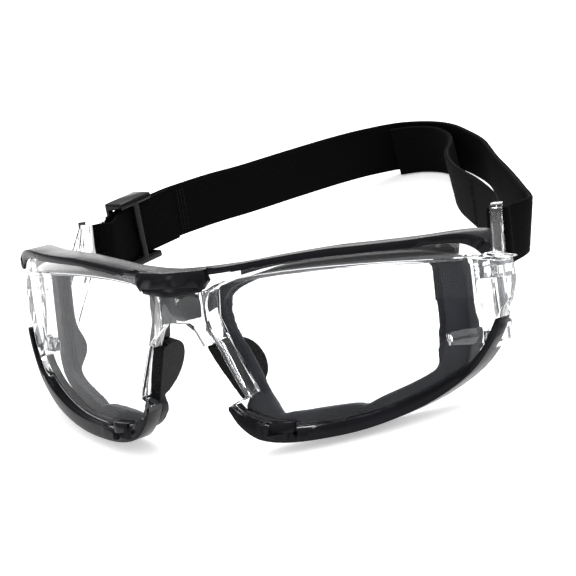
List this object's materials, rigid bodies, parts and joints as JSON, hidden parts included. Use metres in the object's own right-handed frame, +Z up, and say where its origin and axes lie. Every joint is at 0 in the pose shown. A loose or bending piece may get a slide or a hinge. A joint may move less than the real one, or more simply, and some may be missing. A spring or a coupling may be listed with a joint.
{
  "type": "sports protective goggles",
  "caption": "Clear wraparound sports goggles with black brow cover, lower rims, face gasket, nose pads, hinged side arms and an elastic head strap with slider.",
  "frame": {"origin": "on the table plane, midway between the two lower rims that the front rests on, in the middle of the face", "axes": "+Z up from the table, +Y from the front towards the back of the head strap, +X towards the wearer's left; the front leans back 16.7 degrees as it lies"},
  "size_m": [0.1524, 0.1909, 0.0504],
  "materials": {
    "clear_frame": "clear polished polycarbonate",
    "lens": "clear hard-coated polycarbonate",
    "black_shell": "satin black moulded plastic",
    "seal": "dark grey soft elastomer",
    "soft_black": "black textured rubber",
    "webbing": "matte black woven elastic",
    "slider_plastic": "glossy black moulded plastic",
    "screw": "dark steel",
    "thread": "black sewing thread"
  },
  "bodies": {
    "frame": {"front_frame": "clear_frame", "lens_left": "lens", "lens_right": "lens", "brow_cover": "black_shell", "lower_rim_left": "black_shell", "lower_rim_right": "black_shell", "face_gasket": "seal", "nose_pad_left": "soft_black", "nose_pad_right": "soft_black", "hinge_screw_left": "screw", "hinge_screw_right": "screw", "strap_main": "webbing", "strap_return": "webbing", "bar_tack_left": "thread", "bar_tack_right": "thread"},
    "arm_left": {"side_arm_left": "clear_frame", "strap_loop_left": "webbing"},
    "arm_right": {"side_arm_right": "clear_frame", "strap_loop_right": "webbing", "strap_grip_right": "webbing"},
    "slider": {"strap_slider": "slider_plastic"}
  },
  "joints": [
    {"name": "arm_left_fold", "type": "hinge", "parent": "frame", "child": "arm_left", "pos_m": [0.07, 0.04272, 0.01905], "axis": [0, 0.2874, 0.9578], "range_deg": [-14.6, 26]},
    {"name": "arm_right_fold", "type": "hinge", "parent": "frame", "child": "arm_right", "pos_m": [-0.07, 0.04272, 0.01905], "axis": [0, -0.2874, -0.9578], "range_deg": [0, 40.6]},
    {"name": "slider_slide", "type": "slide", "parent": "arm_right", "child": "slider", "axis": [0.1724, 0.9768, -0.1272], "range_m": [0, 0.009]}
  ]
}
